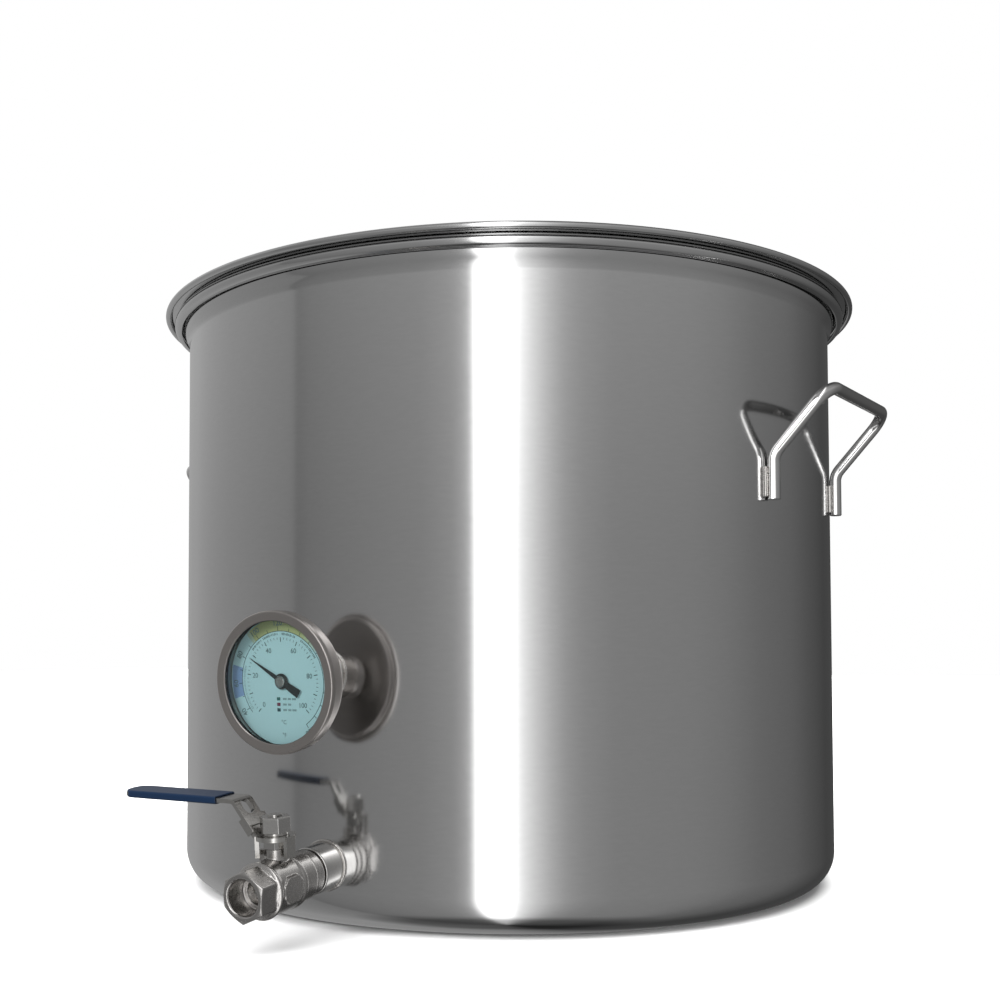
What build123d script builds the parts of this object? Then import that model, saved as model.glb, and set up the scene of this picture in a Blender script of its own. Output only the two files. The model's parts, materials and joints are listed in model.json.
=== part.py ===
from build123d import *
from math import asin, cos, degrees, radians, sin
import os

# Brew kettle: a lidded stainless pot with a ball valve and a dial thermometer.
# Millimetres. +Z is up, -Y is the front, where the valve and the thermometer point.
# The origin is the centre of the underside of the base.

# ---------------------------------------------------------------- pot and lid
WALL_R = 242.0            # outside of the wall
SHEET = 1.2               # thickness of the pot's sheet
KNUCKLE_R = 24.0          # outside radius between base and wall
BEAD_R = 249.0            # circle through the middle of the rolled rim
BEAD_HALF = 4.0           # half the height of the rolled rim
POT_TOP = 412.0           # top of the rolled rim
FLARE_H = 14.0            # height over which the wall steps out to the rim

LID_SHEET = 0.9
LID_GAP = 0.3             # between the lid and the rolled rim
LID_R = 259.5             # outside of the lid's rolled edge
LID_EDGE_HALF = 2.1       # half the height of the lid's rolled edge
LID_TOP = 416.0           # top of the lid's rolled edge
LID_PLUG_R = 238.6        # the step that centres the lid inside the mouth
LID_FLOOR = 405.0         # height of the recessed ring inside that step
LID_CROWN = 411.0         # height of the crowned middle
LID_CROWN_R = 200.0       # outside of the crowned middle
LID_STEP = 4.0            # width of the step between the lid's panel and its plug

# ---------------------------------------------------------------- rod handles
ROD_R = 4.0
RIGHT_AZIMUTH = 84.3      # degrees round from the front to the right handle
LEFT_AZIMUTH = -90.2
LEFT_DROP = 8.0           # the left handle sits a little lower
LEG_SPREAD = 14.1         # degrees from the handle's middle to each leg
LEG_AXIS_R = WALL_R + ROD_R + 0.6
LEG_FOOT = 262.6
LEG_BEND = 291.5
GRIP_OUT = 275.0          # distance of the grip from the pot's axis
GRIP_HALF = 60.0
GRIP_UP = 331.0
LEG_BEND_R = 12.0
GRIP_BEND_R = 14.0
WELD_R = 1.7
WELD_ASIDE = 4.45         # from the middle of the leg to the middle of a bead
WELD_LENGTH = 20.0

LID_GRIP_HALF = 55.0
LID_GRIP_UP = 38.0
LID_FOOT_HALF = 42.0

# ---------------------------------------------------------------- wall fittings
DROOP = radians(4.5)      # both fittings point a little down from level
COUPLING_R = 14.3
COUPLING_LENGTH = 17.5
PIPE_R = 10.65            # half-inch pipe
PIPE_BORE_R = 7.9
THREAD_FIT = 0.05         # clearance between a pipe and its socket
SOCKET_R = PIPE_R + THREAD_FIT
WELD_RING = 1.3

# ---------------------------------------------------------------- ball valve
# Distances along the valve count outwards from the pot's wall.
VALVE_Z = 39.2            # height at the wall
CAP_START = 19.5
CAP_SHOULDER = 26.6
CAP_END = 34.0
CAP_R = 14.2
SPIGOT_R = 12.6
BODY_START = 27.0
BODY_REAR_R = 15.0
RING_START = 38.5
RING_END = 40.8
RING_R = 16.3
BODY_R = 15.7
COLLAR_START = 62.0
COLLAR_R = 16.4
HEX_START = 64.3
VALVE_END = 78.0
HEX_AF = 26.6
OUTLET_R = 10.2
PORT_R = 7.5
STEM_AT = 46.0            # the ball and the stem
BALL_R = 11.8
CAVITY_END = 58.0
SEAT_R = 12.5
SEAT_THICK = 4.6

# Heights above the valve's axis, along the stem.
STEM_R = 4.0
STEM_FLAT = 3.0           # half the width across the stem's flats
STEM_CLEAR = 0.05
NECK_R = 7.0
NECK_TOP = 21.2
PACKING_R = 5.9
PACKING_START = 16.0
COLLAR_LOW = 12.1         # the stem's anti-blowout collar
COLLAR_HIGH = 13.4
COLLAR_STEM_R = 5.4
STEM_TOP = 40.4
GLAND_AF = 13.0
GLAND_TOP = 25.4
PLATE_LOW = 26.2
LEVER_THICK = 2.5
WASHER_THICK = 1.6
NUT_AF = 16.0
NUT_TURN = 19.0
NUT_TOP = 39.4

LEVER_WIDTH = 16.0
LEVER_UP = 47.4           # height of the level part of the lever
LEVER_TIP = 105.5
RAMP_FOOT = -8.6
RAMP_HEAD = -24.0
PLATE_R = 11.5
EAR_R = 11.9              # outside of the two stop ears
EAR_LOW = 16.4
EAR_HALF = 3.4
EAR_AZIMUTHS = (-8.0, 216.0)
STOP_CLEAR = 4.0          # degrees between an ear and the stop
SLEEVE_START = 36.0
SLEEVE_TIP = 108.6
SLEEVE_WIDTH = 18.0
SLEEVE_THICK = 4.6

# ---------------------------------------------------------------- thermometer
# Distances count outwards from the pot's wall, as on the valve.
GAUGE_Z = 154.3
GAUGE_HEX_START = 17.8
GAUGE_HEX_END = 25.0
GAUGE_HEX_AF = 22.0
GAUGE_NECK_R = 6.5
CASE_BACK = 35.5
CASE_R = 38.6
CASE_SHEET = 0.9
CASE_FRONT = 47.8
HUB_R = 11.0
BEZEL_R = 41.5
BEZEL_BACK = 41.5
BEZEL_FRONT = 51.6
BEZEL_WINDOW_R = 35.4
GLASS_R = 37.2
GLASS_BACK = 48.5
GLASS_THICK = 1.9
DIAL_R = 37.2
DIAL_BACK = 41.8
DIAL_THICK = 0.8
POINTER_BACK = 43.4
POINTER_THICK = 0.5
POINTER_LENGTH = 26.5
POINTER_TAIL = 14.0
POINTER_ANGLE = 149.0     # degrees in the dial's plane, 90 being straight up
PROBE_R = 3.2
PROBE_WALL = 0.5
PROBE_TIP = -100.0
SPINDLE_R = 0.7
COIL_R = 1.9
COIL_PITCH = 3.0
COIL_TURNS = 9
COIL_WIRE_R = 0.35

os.makedirs("parts", exist_ok=True)


def save(piece, name):
    """Label a finished piece and write it under its node name."""
    piece.part.label = name
    export_step(piece.part, f"parts/{name}.step")


def turn(side, axis, outline, mode=Mode.ADD):
    """Revolve an outline of (distance along the axis, radius) points."""
    with BuildSketch(side) as profile:
        with BuildLine():
            Polyline(*outline, close=True)
        make_face()
    revolve(profile.sketch, axis=axis, mode=mode)


def tube(side, axis, start, end, outer, inner, edge=0.0):
    """A turned tube with an optional chamfer on its outer far edge."""
    outline = [(start, inner), (start, outer), (end - edge, outer)]
    if edge:
        outline.append((end, outer - edge))
    outline.append((end, inner))
    turn(side, axis, outline)


def cut_to_wall():
    """Take away whatever lies inside the outside of the pot's wall."""
    Cylinder(WALL_R, 2 * POT_TOP, mode=Mode.SUBTRACT)


def fitting_planes(height):
    """Plane across a fitting, plane along it, and its axis, from the wall outwards."""
    outwards = (0, -cos(DROOP), -sin(DROOP))
    start = (0, -WALL_R, height)
    across = Plane(origin=start, x_dir=(1, 0, 0), z_dir=outwards)
    along = Plane(origin=start, x_dir=outwards, z_dir=(-1, 0, 0))
    return across, along, Axis(start, outwards)


valve_across, valve_along, valve_axis = fitting_planes(VALVE_Z)
gauge_across, gauge_along, gauge_axis = fitting_planes(GAUGE_Z)

# Across the stem, at the height of the valve's axis, with +y towards the pot.
stem_base = Plane(
    origin=valve_across.offset(STEM_AT).origin,
    x_dir=(1, 0, 0),
    z_dir=(0, -sin(DROOP), cos(DROOP)),
)
stem_side = valve_across.offset(STEM_AT)      # x across the valve, y up the stem

# ================================================================ the pot
half_sheet = SHEET / 2
bead_mid = BEAD_HALF - half_sheet
bead_z = POT_TOP - BEAD_HALF
wall_mid = WALL_R - half_sheet
rim_mid = BEAD_R - bead_mid
flare_top = bead_z - 1.0
flare_start = flare_top - FLARE_H

with BuildPart() as kettle_shell:
    with BuildSketch(Plane.XZ):
        with BuildLine():
            Line((0, half_sheet), (WALL_R - KNUCKLE_R, half_sheet))
            knuckle = TangentArc(
                (WALL_R - KNUCKLE_R, half_sheet), (wall_mid, KNUCKLE_R), tangent=(1, 0)
            )
            Line(knuckle @ 1, (wall_mid, flare_start))
        trace(line_width=SHEET)
    revolve(axis=Axis.Z)
    for across in (valve_across, gauge_across):
        with BuildSketch(across.offset(-2 * KNUCKLE_R)):
            Circle(SOCKET_R)
        extrude(amount=2.5 * KNUCKLE_R, mode=Mode.SUBTRACT)
save(kettle_shell, "kettle_shell")

# The step out to the rim and the rim's roll, in a node of their own where the wall ends.
with BuildPart() as kettle_rim:
    with BuildSketch(Plane.XZ):
        with BuildLine():
            middle = ((wall_mid + rim_mid) / 2, (flare_start + flare_top) / 2)
            flare = TangentArc((wall_mid, flare_start), middle, tangent=(0, 1))
            TangentArc(middle, (rim_mid, flare_top), tangent=flare % 1)
            Line((rim_mid, flare_top), (rim_mid, bead_z))
            CenterArc((BEAD_R, bead_z), bead_mid, 180, -285)
        trace(line_width=SHEET)
    revolve(axis=Axis.Z)
save(kettle_rim, "kettle_rim")


# ================================================================ side handles
def handle_points(azimuth, drop):
    """Corners of a side handle's rod, foot to foot."""
    a = radians(azimuth)
    out = Vector(sin(a), -cos(a), 0)
    along = Vector(cos(a), sin(a), 0)
    leg_out = LEG_AXIS_R * cos(radians(LEG_SPREAD))
    leg_along = LEG_AXIS_R * sin(radians(LEG_SPREAD))
    places = [
        (leg_out, -leg_along, LEG_FOOT),
        (leg_out, -leg_along, LEG_BEND),
        (GRIP_OUT, -GRIP_HALF, GRIP_UP),
        (GRIP_OUT, GRIP_HALF, GRIP_UP),
        (leg_out, leg_along, LEG_BEND),
        (leg_out, leg_along, LEG_FOOT),
    ]
    return [out * o + along * s + Vector(0, 0, z - drop) for o, s, z in places]


handle_bends = [LEG_BEND_R, GRIP_BEND_R, GRIP_BEND_R, LEG_BEND_R]

for azimuth, drop, name in (
    (RIGHT_AZIMUTH, 0.0, "side_handle_right"),
    (LEFT_AZIMUTH, LEFT_DROP, "side_handle_left"),
):
    with BuildPart() as side_handle:
        with BuildLine() as rod_line:
            FilletPolyline(*handle_points(azimuth, drop), radius=handle_bends)
        with BuildSketch(Plane(origin=rod_line.line @ 0, z_dir=rod_line.line % 0)):
            Circle(ROD_R)
        sweep()
        foot_edges = side_handle.edges().filter_by(GeomType.CIRCLE).group_by(Axis.Z)[0]
        chamfer(foot_edges, 0.5)
    save(side_handle, name)

# A bead each side of every leg, in the corner between the rod and the wall.
weld_turn = degrees(asin(WELD_ASIDE / WALL_R))
with BuildPart() as handle_welds:
    for azimuth, drop in ((RIGHT_AZIMUTH, 0.0), (LEFT_AZIMUTH, LEFT_DROP)):
        for leg in (-LEG_SPREAD, LEG_SPREAD):
            for side in (-weld_turn, weld_turn):
                a = radians(azimuth + leg + side)
                foot = LEG_FOOT + 1.5 - drop
                spot = ((WALL_R + 1) * sin(a), -(WALL_R + 1) * cos(a), foot)
                with BuildSketch(Plane(origin=spot)):
                    Circle(WELD_R)
                extrude(amount=WELD_LENGTH)
    fillet(handle_welds.edges().filter_by(GeomType.CIRCLE), WELD_R * 0.6)
save(handle_welds, "handle_welds")

# ================================================================ lid
half_lid = LID_SHEET / 2
flange_z = POT_TOP + LID_GAP + half_lid
edge_mid = LID_EDGE_HALF - half_lid
edge_r = LID_R - LID_EDGE_HALF
edge_z = LID_TOP - LID_EDGE_HALF
plug_mid = LID_PLUG_R - half_lid
panel_r = plug_mid - LID_STEP

with BuildPart() as lid_pan:
    with BuildSketch(Plane.XZ):
        with BuildLine():
            level = Line((0, LID_CROWN), (ROD_R, LID_CROWN))
            crown = TangentArc(level @ 1, (LID_CROWN_R, LID_FLOOR), tangent=(1, 0))
            Line(crown @ 1, (panel_r, LID_FLOOR))
        trace(line_width=LID_SHEET)
    revolve(axis=Axis.Z)
save(lid_pan, "lid_pan")

# The lid's step, flange and rolled edge, in a node of their own where the panel ends.
with BuildPart() as lid_rim:
    with BuildSketch(Plane.XZ):
        with BuildLine():
            FilletPolyline(
                (panel_r, LID_FLOOR),
                (plug_mid, LID_FLOOR),
                (plug_mid, flange_z),
                (BEAD_R + 1, flange_z),
                (edge_r, edge_z + edge_mid),
                radius=[2.5, 2.5, 4.0],
            )
            CenterArc((edge_r, edge_z), edge_mid, 90, -250)
        trace(line_width=LID_SHEET)
    revolve(axis=Axis.Z)
save(lid_rim, "lid_rim")

foot_z = LID_CROWN + half_lid - 0.5
lid_grip_points = [
    (-LID_FOOT_HALF, 0, foot_z),
    (-LID_GRIP_HALF, 0, foot_z + LID_GRIP_UP),
    (LID_GRIP_HALF, 0, foot_z + LID_GRIP_UP),
    (LID_FOOT_HALF, 0, foot_z),
]
with BuildPart() as lid_handle:
    with BuildLine() as lid_rod:
        FilletPolyline(*lid_grip_points, radius=11)
    with BuildSketch(Plane(origin=lid_rod.line @ 0, z_dir=lid_rod.line % 0)):
        Circle(ROD_R)
    sweep()
    # The feet are ground flat where they stand on the lid.
    with BuildSketch(Plane.XY.offset(LID_CROWN + half_lid)):
        Rectangle(3 * LID_GRIP_HALF, 6 * ROD_R)
    extrude(amount=-3 * ROD_R, mode=Mode.SUBTRACT)
save(lid_handle, "lid_handle")

with BuildPart() as lid_handle_welds:
    for side in (-1, 1):
        with BuildSketch(Plane.XY.offset(LID_CROWN + half_lid - 0.3)):
            with Locations((side * (LID_FOOT_HALF + 0.6), 0)):
                Circle(ROD_R + 2.2)
                Circle(ROD_R + 0.2, mode=Mode.SUBTRACT)
        extrude(amount=1.6, taper=20)
save(lid_handle_welds, "lid_handle_welds")

# ================================================================ wall couplings
for axis, along, name in (
    (valve_axis, valve_along, "valve_coupling"),
    (gauge_axis, gauge_along, "gauge_coupling"),
):
    with BuildPart() as coupling:
        tube(along, axis, -3, COUPLING_LENGTH, COUPLING_R, SOCKET_R, edge=0.8)
        cut_to_wall()
    save(coupling, name)

    with BuildPart() as weld:
        weld_outline = [
            (-3, COUPLING_R),
            (-3, COUPLING_R + WELD_RING),
            (0.6, COUPLING_R + WELD_RING),
            (1.3, COUPLING_R + WELD_RING * 0.75),
            (1.7, COUPLING_R),
        ]
        turn(along, axis, weld_outline)
        cut_to_wall()
    save(weld, name + "_weld")

# ================================================================ ball valve
with BuildPart() as valve_nipple:
    tube(valve_along, valve_axis, 3.0, 31.5, PIPE_R, PIPE_BORE_R, edge=0.6)
save(valve_nipple, "valve_nipple")

with BuildPart() as valve_end_cap:
    cap_outline = [
        (CAP_START, SOCKET_R),
        (CAP_START, CAP_R - 0.8),
        (CAP_START + 0.8, CAP_R),
        (CAP_SHOULDER - 0.8, CAP_R),
        (CAP_SHOULDER, CAP_R - 0.8),
        (CAP_SHOULDER, SPIGOT_R),
        (CAP_END, SPIGOT_R),
        (CAP_END, PORT_R),
        (32.0, PORT_R),
        (32.0, SOCKET_R),
    ]
    turn(valve_along, valve_axis, cap_outline)
save(valve_end_cap, "valve_end_cap")

spigot_bore = SPIGOT_R + THREAD_FIT
with BuildPart() as valve_body:
    body_outline = [
        (BODY_START, spigot_bore),
        (BODY_START, BODY_REAR_R - 0.8),
        (BODY_START + 0.8, BODY_REAR_R),
        (RING_START - 0.6, BODY_REAR_R),
        (RING_START, RING_R),
        (RING_END, RING_R),
        (RING_END + 1.0, BODY_R),
        (COLLAR_START - 1.5, BODY_R),
        (COLLAR_START, COLLAR_R),
        (COLLAR_START + 1.4, COLLAR_R),
        (HEX_START + 0.6, BODY_R - 1.6),
        (HEX_START + 0.6, PORT_R),
        (CAVITY_END, PORT_R),
        (CAVITY_END, spigot_bore),
    ]
    turn(valve_along, valve_axis, body_outline)
    # Raised pads on both flanks.
    for side in (-1, 1):
        flank = Plane(
            origin=valve_across.offset(51.5).origin,
            x_dir=(0, -cos(DROOP), -sin(DROOP)),
            z_dir=(side, 0, 0),
        )
        with BuildSketch(flank.offset(BODY_R - 2.6)) as pad:
            Rectangle(17, 15)
            chamfer(pad.vertices(), 4)
        extrude(amount=3.3)
    # Neck that carries the stem, and the sector that stops the lever.
    with BuildSketch(stem_base.offset(SPIGOT_R + 0.6)):
        Circle(NECK_R)
    extrude(amount=NECK_TOP - SPIGOT_R - 0.6)
    ear_turn = degrees(EAR_HALF / (EAR_R - LEVER_THICK / 2)) + STOP_CLEAR
    stop_from = EAR_AZIMUTHS[0] + 90 + ear_turn
    stop_to = EAR_AZIMUTHS[1] - ear_turn
    with BuildSketch(stem_base.offset(SPIGOT_R + 0.6)):
        with BuildLine():
            stop_arc = CenterArc((0, 0), EAR_R - 0.6, stop_from, stop_to - stop_from)
            Line((0, 0), stop_arc @ 0)
            Line((0, 0), stop_arc @ 1)
        make_face()
    extrude(amount=NECK_TOP - 1.5 - SPIGOT_R - 0.6)
    # Hexagonal outlet with its threaded mouth.
    with BuildSketch(valve_across.offset(HEX_START)):
        RegularPolygon(HEX_AF / 2, 6, major_radius=False, rotation=25)
    extrude(amount=VALVE_END - HEX_START)
    hex_ends = [
        (BODY_START, 0),
        (BODY_START, 2 * BODY_R),
        (HEX_START, 2 * BODY_R),
        (HEX_START, HEX_AF / 2 + 0.2),
        (HEX_START + 1.3, HEX_AF / 2 + 2.4),
        (VALVE_END - 1.5, HEX_AF / 2 + 2.4),
        (VALVE_END, HEX_AF / 2 - 0.4),
        (VALVE_END, 0),
    ]
    turn(valve_along, valve_axis, hex_ends, mode=Mode.INTERSECT)
    mouth_outline = [
        (HEX_START, 0),
        (HEX_START, OUTLET_R),
        (VALVE_END - 1.0, OUTLET_R),
        (VALVE_END + 0.1, OUTLET_R + 1.1),
        (VALVE_END + 0.1, 0),
    ]
    turn(valve_along, valve_axis, mouth_outline, mode=Mode.SUBTRACT)
    turn(valve_along, valve_axis, [(60, 0), (60, PORT_R), (VALVE_END, PORT_R), (VALVE_END, 0)],
         mode=Mode.SUBTRACT)
    # Clear the ball's chamber and bore the neck for the stem.
    turn(valve_along, valve_axis,
         [(BODY_START - 1, 0), (BODY_START - 1, spigot_bore),
          (CAVITY_END, spigot_bore), (CAVITY_END, 0)],
         mode=Mode.SUBTRACT)
    for low, high, radius in (
        (0, COLLAR_HIGH + 0.1, COLLAR_STEM_R + 0.1),
        (0, NECK_TOP + 1, STEM_R + STEM_CLEAR),
        (PACKING_START, NECK_TOP + 1, PACKING_R + THREAD_FIT),
    ):
        with BuildSketch(stem_base.offset(low)):
            Circle(radius)
        extrude(amount=high - low, mode=Mode.SUBTRACT)
save(valve_body, "valve_body")

# Two seats, each hollowed to fit the ball.
with BuildPart() as ball_seats:
    for start in (CAP_END + 0.05, CAVITY_END - 0.05 - SEAT_THICK):
        tube(valve_along, valve_axis, start, start + SEAT_THICK, SEAT_R, PORT_R + 0.4)
    with Locations(stem_side):
        Sphere(BALL_R + STEM_CLEAR, mode=Mode.SUBTRACT)
save(ball_seats, "ball_seats")

# Shut at rest, so the ball's port lies across the valve.
SLOT_FLOOR = 9.4
TONGUE_HALF = 1.5
with BuildPart() as valve_ball:
    with Locations(stem_side):
        Sphere(BALL_R)
    with BuildSketch(Plane(origin=stem_base.origin, z_dir=(1, 0, 0)).offset(-2 * BALL_R)):
        Circle(PORT_R)
    extrude(amount=4 * BALL_R, mode=Mode.SUBTRACT)
    with BuildSketch(stem_base.offset(SLOT_FLOOR)):
        Rectangle(2 * TONGUE_HALF + 0.1, 3 * BALL_R)
    extrude(amount=BALL_R, mode=Mode.SUBTRACT)
save(valve_ball, "valve_ball")

with BuildPart() as valve_stem:
    with BuildSketch(stem_base.offset(COLLAR_LOW)):
        Circle(COLLAR_STEM_R)
    extrude(amount=COLLAR_HIGH - COLLAR_LOW)
    with BuildSketch(stem_base.offset(COLLAR_HIGH)):
        Circle(STEM_R)
    extrude(amount=GLAND_TOP - COLLAR_HIGH)
    with BuildSketch(stem_base.offset(SLOT_FLOOR + 0.1)):
        Rectangle(2 * TONGUE_HALF, 2 * STEM_R)
    extrude(amount=COLLAR_LOW - SLOT_FLOOR - 0.1)
    with BuildSketch(stem_base.offset(GLAND_TOP)):
        Circle(STEM_R)
        Rectangle(2 * STEM_FLAT, 4 * STEM_R, mode=Mode.INTERSECT)
    extrude(amount=STEM_TOP - GLAND_TOP)
save(valve_stem, "valve_stem")

with BuildPart() as stem_packing:
    with BuildSketch(stem_base.offset(PACKING_START)):
        Circle(PACKING_R)
        Circle(STEM_R + STEM_CLEAR, mode=Mode.SUBTRACT)
    extrude(amount=NECK_TOP - PACKING_START - 1.2)
save(stem_packing, "stem_packing")

with BuildPart() as gland_nut:
    with BuildSketch(stem_base.offset(NECK_TOP)):
        RegularPolygon(GLAND_AF / 2, 6, major_radius=False)
    extrude(amount=GLAND_TOP - NECK_TOP)
    with BuildSketch(stem_base.offset(NECK_TOP)):
        Circle(PACKING_R)
    extrude(amount=-1.1)
    with BuildSketch(stem_base.offset(NECK_TOP - 2)):
        Circle(STEM_R + STEM_CLEAR)
    extrude(amount=8, mode=Mode.SUBTRACT)
save(gland_nut, "gland_nut")

plate_mid = PLATE_LOW + LEVER_THICK / 2
with BuildPart() as valve_lever:
    with BuildSketch(stem_side.offset(-LEVER_WIDTH / 2)):
        with BuildLine():
            FilletPolyline(
                (0, plate_mid),
                (RAMP_FOOT, plate_mid),
                (RAMP_HEAD, LEVER_UP),
                (-LEVER_TIP, LEVER_UP),
                radius=4.0,
            )
        trace(line_width=LEVER_THICK)
    extrude(amount=LEVER_WIDTH)
    with BuildSketch(stem_base.offset(PLATE_LOW)):
        Circle(PLATE_R)
        for azimuth in EAR_AZIMUTHS:
            with PolarLocations(0, 1, start_angle=azimuth):
                with Locations(((EAR_R + 4) / 2, 0)):
                    Rectangle(EAR_R - 4, 2 * EAR_HALF)
    extrude(amount=LEVER_THICK)
    with BuildSketch(stem_base.offset(EAR_LOW)):
        for azimuth in EAR_AZIMUTHS:
            with PolarLocations(0, 1, start_angle=azimuth):
                with Locations((EAR_R - LEVER_THICK / 2, 0)):
                    Rectangle(LEVER_THICK, 2 * EAR_HALF)
    extrude(amount=PLATE_LOW - EAR_LOW + 0.5)
    # Hole that fits the stem's flats.
    with BuildSketch(stem_base.offset(PLATE_LOW - 1)):
        Circle(STEM_R + STEM_CLEAR)
        Rectangle(2 * (STEM_FLAT + STEM_CLEAR), 4 * STEM_R, mode=Mode.INTERSECT)
    extrude(amount=LEVER_THICK + 2, mode=Mode.SUBTRACT)
    # Padlock hole near the head of the ramp.
    ramp = Vector(RAMP_HEAD - RAMP_FOOT, LEVER_UP - plate_mid)
    lean = Vector(-sin(DROOP), cos(DROOP))
    ramp_dir = Vector(ramp.X, ramp.Y * lean.X, ramp.Y * lean.Y).normalized()
    ramp_start = stem_side.from_local_coords((RAMP_FOOT, plate_mid, 0))
    ramp_plane = Plane(
        origin=ramp_start,
        x_dir=ramp_dir,
        z_dir=ramp_dir.cross(valve_axis.direction),
    )
    with BuildSketch(ramp_plane.offset(-5)):
        with Locations((ramp.length - 5.5, 0)):
            SlotOverall(10, 7.5)
    extrude(amount=10, mode=Mode.SUBTRACT)
save(valve_lever, "valve_lever")

# Latch that slides on the ramp: a channel folded over both edges of the lever.
LATCH_FROM = 3.0
LATCH_LENGTH = 10.5
LATCH_NOTCH = 4.0         # the web stops short of the nut
LATCH_SHEET = 1.0
LATCH_CLEAR = 0.25
LATCH_LIP = 4.2
latch_outer = LEVER_WIDTH + 2 * (LATCH_CLEAR + LATCH_SHEET)
latch_low = LEVER_THICK / 2 + LATCH_CLEAR
with BuildPart() as lock_latch:
    with BuildSketch(ramp_plane.offset(latch_low)):
        with Locations((LATCH_FROM + LATCH_LENGTH / 2, 0)):
            Rectangle(LATCH_LENGTH, latch_outer)
        with Locations((LATCH_FROM + LATCH_NOTCH / 2, 0)):
            Rectangle(LATCH_NOTCH, LEVER_WIDTH, mode=Mode.SUBTRACT)
    extrude(amount=LATCH_SHEET)
    with BuildSketch(ramp_plane.offset(latch_low)):
        with Locations((LATCH_FROM + LATCH_LENGTH / 2, 0)):
            Rectangle(LATCH_LENGTH, latch_outer)
            Rectangle(LATCH_LENGTH, LEVER_WIDTH + 2 * LATCH_CLEAR, mode=Mode.SUBTRACT)
    extrude(amount=-LATCH_LIP)
save(lock_latch, "lock_latch")

with BuildPart() as lever_sleeve:
    with BuildSketch(stem_side.offset(-SLEEVE_WIDTH / 2)):
        with Locations((-(SLEEVE_START + SLEEVE_TIP) / 2, LEVER_UP)):
            Rectangle(SLEEVE_TIP - SLEEVE_START, SLEEVE_THICK)
    extrude(amount=SLEEVE_WIDTH)
    tip_corners = lever_sleeve.edges().filter_by(Axis((0, 0, 0), stem_base.z_dir)).group_by(Axis.X)[0]
    fillet(tip_corners, 7.5)
    fillet(lever_sleeve.faces().filter_by(Plane.YZ).sort_by(Axis.X)[0].edges(), 1.2)
    with BuildSketch(stem_side.offset(-LEVER_WIDTH / 2 - THREAD_FIT)):
        with Locations((-(SLEEVE_START - 5 + LEVER_TIP) / 2, LEVER_UP)):
            Rectangle(LEVER_TIP - SLEEVE_START + 5 + 2 * THREAD_FIT, LEVER_THICK + 2 * THREAD_FIT)
    extrude(amount=LEVER_WIDTH + 2 * THREAD_FIT, mode=Mode.SUBTRACT)
save(lever_sleeve, "lever_sleeve")

plate_top = PLATE_LOW + LEVER_THICK
washer_top = plate_top + WASHER_THICK
with BuildPart() as lever_washer:
    with BuildSketch(stem_base.offset(plate_top + THREAD_FIT)):
        Circle(7.4)
        Circle(STEM_R + STEM_CLEAR, mode=Mode.SUBTRACT)
    extrude(amount=WASHER_THICK - THREAD_FIT)
save(lever_washer, "lever_washer")

with BuildPart() as stem_nut:
    with BuildSketch(stem_base.offset(washer_top + THREAD_FIT)):
        RegularPolygon(NUT_AF / 2, 6, major_radius=False, rotation=NUT_TURN)
    extrude(amount=NUT_TOP - washer_top - THREAD_FIT)
    chamfer(stem_nut.edges().group_by(Axis((0, 0, 0), stem_base.z_dir))[-1], 0.7)
    with BuildSketch(stem_base.offset(plate_top)):
        Circle(STEM_R + STEM_CLEAR)
    extrude(amount=STEM_TOP, mode=Mode.SUBTRACT)
save(stem_nut, "stem_nut")

# ================================================================ thermometer
with BuildPart() as gauge_hex:
    tube(gauge_along, gauge_axis, 4.0, GAUGE_HEX_START + 0.2, PIPE_R, PROBE_R + THREAD_FIT)
    with BuildSketch(gauge_across.offset(GAUGE_HEX_START)):
        RegularPolygon(GAUGE_HEX_AF / 2, 6, major_radius=False, rotation=10)
        Circle(PROBE_R + THREAD_FIT, mode=Mode.SUBTRACT)
    extrude(amount=GAUGE_HEX_END - GAUGE_HEX_START)
    tube(gauge_along, gauge_axis, GAUGE_HEX_END, CASE_BACK - 4, GAUGE_NECK_R, PROBE_R + THREAD_FIT)
save(gauge_hex, "gauge_hex")

with BuildPart() as gauge_case:
    case_outline = [
        (CASE_BACK - 4, PROBE_R + THREAD_FIT),
        (CASE_BACK - 4, HUB_R - 2.5),
        (CASE_BACK - 2.5, HUB_R),
        (CASE_BACK, HUB_R + 2),
        (CASE_BACK, CASE_R - 3),
        (CASE_BACK + 3, CASE_R),
        (CASE_FRONT, CASE_R),
        (CASE_FRONT, CASE_R - CASE_SHEET),
        (CASE_BACK + 3.4, CASE_R - CASE_SHEET),
        (CASE_BACK + CASE_SHEET, CASE_R - 3.4),
        (CASE_BACK + CASE_SHEET, PROBE_R + THREAD_FIT),
    ]
    turn(gauge_along, gauge_axis, case_outline)
save(gauge_case, "gauge_case")

bezel_inner = CASE_R + 0.05
with BuildPart() as gauge_bezel:
    bezel_outline = [
        (BEZEL_BACK, bezel_inner),
        (BEZEL_BACK, BEZEL_R - 1.4),
        (BEZEL_BACK + 1.2, BEZEL_R - 0.4),
        (BEZEL_FRONT - 3.0, BEZEL_R),
        (BEZEL_FRONT - 1.2, BEZEL_R - 0.3),
        (BEZEL_FRONT, BEZEL_R - 1.5),
        (BEZEL_FRONT - 0.4, BEZEL_WINDOW_R + 0.4),
        (BEZEL_FRONT - 0.9, BEZEL_WINDOW_R),
        (GLASS_BACK + GLASS_THICK + 0.05, BEZEL_WINDOW_R),
        (GLASS_BACK + GLASS_THICK + 0.05, bezel_inner),
    ]
    turn(gauge_along, gauge_axis, bezel_outline)
save(gauge_bezel, "gauge_bezel")

with BuildPart() as gauge_glass:
    with BuildSketch(gauge_across.offset(GLASS_BACK)):
        Circle(GLASS_R)
    extrude(amount=GLASS_THICK)
save(gauge_glass, "gauge_glass")

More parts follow.
